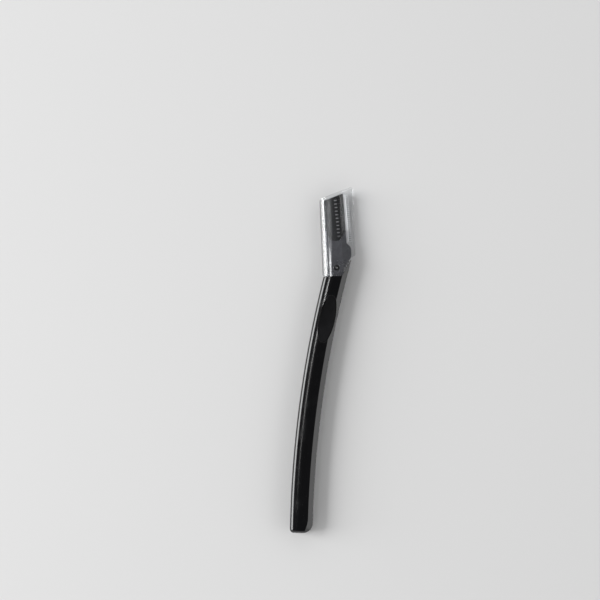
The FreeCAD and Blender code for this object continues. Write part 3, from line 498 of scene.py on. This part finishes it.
def shellGrid():
    # rows of (across, along) from the slanted mouth to the rolled tail
    s = shellSpec
    even, turnFrom, rollFrom = s["evenFrom"], s["turnFrom"], s["tail"] - s["roll"]
    rows = []
    for share in s["mouthShares"]:
        rows.append([(u, mouthAlong(u) + (even - mouthAlong(u)) * share) for u in shellRow(even)])
    rollTurns = [math.radians(turn) for turn in range(0, 91, s["rollStep"])]
    stations = [even + step for step in range(int(turnFrom - even))]
    stride = (rollFrom - turnFrom) / s["turnRows"]
    stations += [turnFrom + stride * step for step in range(s["turnRows"])]
    stations += [rollFrom + s["roll"] * math.sin(turn) for turn in rollTurns]
    return rows + [[(u, along) for u in shellRow(along)] for along in stations]


def prism(bm, points, low, high, side):
    lower, upper = ([bm.verts.new(onHandle(u, v, up, side)) for u, v in points] for up in (low, high))
    bm.faces.new(lower)
    bm.faces.new(upper)
    joinRings(bm, lower, upper)


def ring(across, along, radius, steps=32):
    turns = [math.tau * step / steps for step in range(steps)]
    return [(across + radius * math.cos(turn), along + radius * math.sin(turn)) for turn in turns]


# pads: dished ovals in pockets of the shells, described in their own straight axes
padSpec = {
    "place": 17.4, "shift": 0.7, "length": 20.8, "width": 6.9, "end": 2.2, "fit": 0.06, "floor": 1.9,
    "bottom": 2.45, "ring": 68.0, "sway": 38.0, "lean": 2.2, "edge": 0.16, "edgeTurns": (0, 30, 60, 90),
    "dishShares": (0.94, 0.86, 0.76, 0.64, 0.5, 0.36, 0.22, 0.1, 0.02),
    # the pocket's rounded rim in the shell, and how far its cutter reaches over the face
    "rim": 0.14, "rimTurns": (0, 20, 40, 60, 78), "rimOver": 0.06, "cutTop": 6.0,
}


def padOval(gap, steps=24):
    p = padSpec
    end, across, along = p["end"] - gap, p["width"] / 2 - gap, p["length"] / 2 - gap
    reach = along - end
    sideRound = (reach ** 2 + across ** 2 - end ** 2) / (2 * (across - end))
    back = sideRound - across
    opening = math.atan2(reach, back)
    arcs = (
        (-back, 0, sideRound, -opening, opening),
        (0, reach, end, opening, math.pi - opening),
        (back, 0, sideRound, math.pi - opening, math.pi + opening),
        (0, -reach, end, math.pi + opening, math.tau - opening),
    )
    spots = []
    for x, y, radius, start, stop in arcs:
        for step in range(steps):
            turn = start + (stop - start) * step / steps
            spots.append((p["shift"] + x + radius * math.cos(turn), y + radius * math.sin(turn)))
    return spots


def padToHandle(x, y):
    # straight axes of the pad to (across, along)
    return bowSpec["radius"] - math.hypot(bowSpec["radius"] - x, y), padSpec["place"] - y


def padRings(bm, rings, side):
    # rings of (x, y, up) joined into a closed piece, flat at both ends
    loops = [[bm.verts.new(onHandle(*padToHandle(x, y), up, side)) for x, y, up in spots]
             for spots in rings]
    for one, two in zip(loops, loops[1:]):
        joinRings(bm, one, two)
    bm.faces.new(loops[0])
    bm.faces.new(loops[-1])


def pocketCutter(bm, side):
    p = padSpec

    def level(gap, below):
        return [(x, y, faceHeight(*padToHandle(x, y)) - below) for x, y in padOval(gap)]

    rings = [[(x, y, p["floor"]) for x, y in padOval(0)]]
    for turn in map(math.radians, p["rimTurns"]):
        rings.append(level(p["rim"] * (math.cos(turn) - 1), p["rim"] * (1 - math.sin(turn))))
    rings.append(level(-p["rim"], -p["rimOver"]))
    rings.append([(x, y, p["cutTop"]) for x, y in padOval(-p["rim"])])
    padRings(bm, rings, side)


def carve(piece, fill):
    # cuts away what the given function builds
    bm = bmesh.new()
    fill(bm)
    bmesh.ops.recalc_face_normals(bm, faces=bm.faces[:])
    mesh = bpy.data.meshes.new("cutter")
    bm.to_mesh(mesh)
    bm.free()
    cutter = bpy.data.objects.new("cutter", mesh)
    scene.collection.objects.link(cutter)
    carving = piece.modifiers.new("carve", "BOOLEAN")
    carving.operation, carving.solver, carving.object = "DIFFERENCE", "EXACT", cutter
    whole = piece.data
    carved = piece.evaluated_get(bpy.context.evaluated_depsgraph_get())
    piece.data = bpy.data.meshes.new_from_object(carved)
    piece.modifiers.remove(carving)
    piece.data.name = whole.name
    bpy.data.objects.remove(cutter)
    bpy.data.meshes.remove(mesh)
    bpy.data.meshes.remove(whole)


def handleShell(name, node, side):
    s = shellSpec
    bm = bmesh.new()
    grid = [[bm.verts.new(onHandle(u, v, faceHeight(u, v), side)) for u, v in row]
            for row in shellGrid()]
    for one, two in zip(grid, grid[1:]):
        for corners in zip(one, one[1:], two[1:], two):
            bm.faces.new(corners)
    rim = grid[0][:-1] + [row[-1] for row in grid[:-1]]
    rim += grid[-1][:0:-1] + [row[0] for row in grid[:0:-1]]
    foot = [bm.verts.new((vert.co.x, vert.co.y, bowSpec["middle"] * mm)) for vert in rim]
    joinRings(bm, rim, foot)
    bm.faces.new(foot)
    bmesh.ops.recalc_face_normals(bm, faces=bm.faces[:])
    rollRows = 90 // s["rollStep"]           # the tail's roll is round already
    rolled = {vert for row in grid[-rollRows:] for vert in row}
    roundEdges(bm, s["sharp"], s["edge"], s["edgeSegments"], rolled)
    piece = newPiece(name, bm, "razor", slotOf[node])

    def hollows(bm):
        half, slot = s["bandHalf"], s["slotHalf"]
        for first, last in s["bands"]:
            steps = [first + (last - first) * row / s["bandRows"] for row in range(s["bandRows"] + 1)]
            band = [(-half, v) for v in steps] + [(half, v) for v in reversed(steps)]
            prism(bm, band, s["cutFrom"], s["bandUp"], side)
        corners = [(-slot, s["slotFrom"]), (slot, s["slotFrom"])]
        corners += [(slot, s["slotEnd"]), (-slot, s["slotEnd"])]
        prism(bm, corners, s["cutFrom"], s["slotUp"], side)
        pocketCutter(bm, side)

    def pinHoles(bm):
        for along in s["pins"]:
            hole = ring(0, along, s["pin"] + s["pinFit"])
            prism(bm, hole, s["cutFrom"], s["pinUp"] + s["pinFit"], side)

    carve(piece, hollows)
    bm = bmesh.new()
    if side > 0:
        carve(piece, pinHoles)
        bm.from_mesh(piece.data)
    else:
        bm.from_mesh(piece.data)
        for along in s["pins"]:              # posts that stand in the other shell's holes
            prism(bm, ring(0, along, s["pin"]), -s["pinUp"], s["pinRoot"], side)
    bmesh.ops.recalc_face_normals(bm, faces=bm.faces[:])
    for face in bm.faces:
        face.smooth = True
    bm.to_mesh(piece.data)
    bm.free()
    evenShading(piece)
    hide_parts(node)
    print(f"{name}: {len(piece.data.polygons)} faces")


def restPad(name, node, side):
    p = padSpec

    def dish(x, y):
        off = x - p["shift"] - p["lean"]
        radius = p["ring"] - p["sway"] + math.sqrt(p["sway"] ** 2 - off ** 2)
        return p["bottom"] + p["ring"] - math.sqrt(radius ** 2 - y ** 2)

    bm = bmesh.new()
    rings = [[(x, y, p["floor"]) for x, y in padOval(p["fit"])]]
    for turn in map(math.radians, p["edgeTurns"]):
        inner = padOval(p["fit"] + p["edge"] * (1 - math.cos(turn)))
        rings.append([(x, y, dish(x, y) - p["edge"] * (1 - math.sin(turn))) for x, y in inner])
    inner = padOval(p["fit"] + p["edge"])
    for share in p["dishShares"]:
        spots = [(p["shift"] + (x - p["shift"]) * share, y * share) for x, y in inner]
        rings.append([(x, y, dish(x, y)) for x, y in spots])
    padRings(bm, rings, side)
    bmesh.ops.recalc_face_normals(bm, faces=bm.faces[:])
    piece = newPiece(name, bm, "razor", slotOf[node])
    evenShading(piece)
    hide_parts(node)
    print(f"{name}: {len(piece.data.polygons)} faces")


handleShell("handle_front", "handle_front_shell", 1)
handleShell("handle_back", "handle_back_shell", -1)
restPad("thumb_rest", "thumb_pad", 1)
restPad("finger_rest", "finger_pad", -1)

# moulded pieces of the head: the CAD shape with its sharp edges rounded off
# "face" is the height of a face over the middle plane, where its left side is eased off
mouldedPieces = {
    "neck": {"node": "head_frame", "body": "razor", "round": 0.14, "face": 2.45},
    "cover": {"node": "blade_cover", "body": "razor", "round": 0.22, "face": 1.7},
    "clear_cap": {"node": "cap", "body": "cap", "round": 0.3},
}
mouldSpec = {"weld": 0.02, "flat": 0.5, "sharp": 12}
shoulderSpec = {"turn": 1.15, "from": -3.3, "to": -0.1, "fall": 0.44, "cuts": 14, "weld": 0.005}


def easeShoulder(bm, face):
    # the left of the head falls away softly, as the handle's shoulder does
    s = shoulderSpec
    turn = math.radians(s["turn"])
    across = Vector((math.cos(turn), -math.sin(turn), 0))
    width = s["to"] - s["from"]
    for cut in range(s["cuts"] + 1):
        spot = across * (s["from"] + width * cut / s["cuts"]) * mm
        bmesh.ops.bisect_plane(bm, geom=bm.verts[:] + bm.edges[:] + bm.faces[:],
                               dist=s["weld"] * mm, plane_co=spot, plane_no=across)
    for vert in bm.verts:
        share = min(max((vert.co.dot(across) / mm - s["from"]) / width, 0), 1)
        fall = s["fall"] * (1 - share ** 2 * (3 - 2 * share))
        vert.co.z -= (vert.co.z - bowSpec["middle"] * mm) * fall / face


def moulded(name, spec):
    bm = bmesh.new()
    bm.from_mesh(frame["nodes"][spec["node"]].data)
    bmesh.ops.remove_doubles(bm, verts=bm.verts[:], dist=mouldSpec["weld"] * mm)
    bmesh.ops.dissolve_limit(bm, angle_limit=math.radians(mouldSpec["flat"]),
                             verts=bm.verts[:], edges=bm.edges[:])
    roundEdges(bm, mouldSpec["sharp"], spec["round"])
    if "face" in spec:
        easeShoulder(bm, spec["face"])
    piece = newPiece(name, bm, spec["body"], slotOf[spec["node"]])
    normals = piece.data.attributes.get("custom_normal")
    if normals:
        piece.data.attributes.remove(normals)
    evenShading(piece)
    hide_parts(spec["node"])
    print(f"{name}: {len(piece.data.polygons)} faces")


for name, spec in mouldedPieces.items():
    moulded(name, spec)

# plain raised ribs on the cover, in a row beside its ridge
ribSpec = {"count": 11, "first": (1.85, 34.6), "last": (2.75, 18.9), "size": (1.2, 0.42, 0.26),
           "face": 5.2, "sunk": 0.1, "lean": 2.0, "edge": 0.1, "edgeSegments": 3, "sharp": 60}


def coverRibs():
    r = ribSpec
    bm = bmesh.new()
    turn = Matrix.Rotation(math.radians(r["lean"]), 4, "Z")
    shape = Matrix.Diagonal((*r["size"], 1))
    for step in range(r["count"]):
        share = step / (r["count"] - 1)
        x, y = (a + (b - a) * share for a, b in zip(r["first"], r["last"]))
        spot = Vector((x, y, r["face"] - r["sunk"] + r["size"][2] / 2)) * mm
        bmesh.ops.create_cube(bm, size=mm, matrix=Matrix.Translation(spot) @ turn @ shape)
    roundEdges(bm, r["sharp"], r["edge"], r["edgeSegments"])
    ribs = newPiece("cover_ribs", bm, "razor", "cover_dark", rubbedFinish("rib_pale", ribPale))
    evenShading(ribs, r["sharp"])
    print("cover_ribs:", r["count"])


coverRibs()

for name in ("blade", "guard_comb"):         # steel keeps the crisp CAD shape
    materials = frame["nodes"][name].data.materials
    materials.clear()
    materials.append(finishes[slotOf[name]])

# floor
floorSpec = {"half": 4.0, "below": 0.02, "colour": (0.66, 0.66, 0.66), "cloud": (0.64, 0.64, 0.64),
             "noise": (0.002, 2), "roughness": 0.8, "specular": 0.0}
bm = bmesh.new()
bmesh.ops.create_grid(bm, x_segments=1, y_segments=1, size=floorSpec["half"],
                      matrix=Matrix.Translation((0, 0, -floorSpec["below"] * mm)))
floorMesh = bpy.data.meshes.new("floor")
bm.to_mesh(floorMesh)
bm.free()
floor = bpy.data.objects.new("floor", floorMesh)
scene.collection.objects.link(floor)
f = newFinish("floor")
floorMesh.materials.append(f.end(f.shader(
    Base_Color=f.mix(f.pattern(floorSpec), floorSpec["colour"], floorSpec["cloud"]),
    Roughness=floorSpec["roughness"],
    Specular_IOR_Level=floorSpec["specular"],
)))

# lights: distance in metres, azimuth (0 is +X, 90 is +Y) and elevation round the razor's middle
lightSpecs = {
    "leftBank": {"from": (1.8, 174, 25), "size": (0.95, 1.3), "radiance": 10},
    "rightBank": {"from": (1.8, -10, 24), "size": (1.3, 0.9), "radiance": 1.0},
    "highStrip": {"from": (1.8, 161, 68), "size": (0.13, 0.09), "radiance": 26},
    "headStrip": {"from": (1.8, 178, 68), "size": (0.24, 0.09), "radiance": 6},
}
middle = (cadLow + cadHigh) / 2
for name, spec in lightSpecs.items():
    far, azimuth, height = spec["from"]
    a, e = math.radians(azimuth), math.radians(height)
    lamp = bpy.data.lights.new(name, "AREA")
    lamp.shape = "RECTANGLE"
    lamp.size, lamp.size_y = spec["size"]
    lamp.energy = spec["radiance"] * math.pi * lamp.size * lamp.size_y
    item = bpy.data.objects.new(name, lamp)
    away = Vector((math.cos(a) * math.cos(e), math.sin(a) * math.cos(e), math.sin(e)))
    item.location = middle + away * far
    side = Vector((0, 0, 1)).cross(away).normalized()
    item.rotation_euler = Matrix((side, away.cross(side), away)).transposed().to_euler()
    scene.collection.objects.link(item)

# world: dark overhead, so that flat black stays black, and pale towards the horizon
skySpec = {"dark": 0.02, "pale": 1.25, "from": 0.84, "to": 0.5}
w = Finish(bpy.data.worlds.new("studio"))
height = w.part(w.add("ShaderNodeTexCoord", out="Generated"), 2)
sky = (1 - height).above(1 - skySpec["from"], 1 - skySpec["to"])
strength = sky * (skySpec["pale"] - skySpec["dark"]) + skySpec["dark"]
scene.world = w.end(w.add("ShaderNodeBackground", {}, {"Color": (1, 1, 1), "Strength": strength}))

# camera straight above, rolled as in the photograph
cameraSpec = {"centre": (-15.46, -8.24), "width": 264.0, "height": 900.0, "roll": -2.5,
              "sensor": 36.0, "near": 10.0}
cam = bpy.data.cameras.new("camera")
cam.sensor_width = cameraSpec["sensor"]
cam.lens = cameraSpec["sensor"] * cameraSpec["height"] / cameraSpec["width"]
cam.clip_start = cameraSpec["near"] * mm
camera = bpy.data.objects.new("camera", cam)
camera.location = [part * mm for part in (*cameraSpec["centre"], cameraSpec["height"])]
camera.rotation_euler = (0, 0, math.radians(cameraSpec["roll"]))
scene.collection.objects.link(camera)
scene.camera = camera
print("stage set")
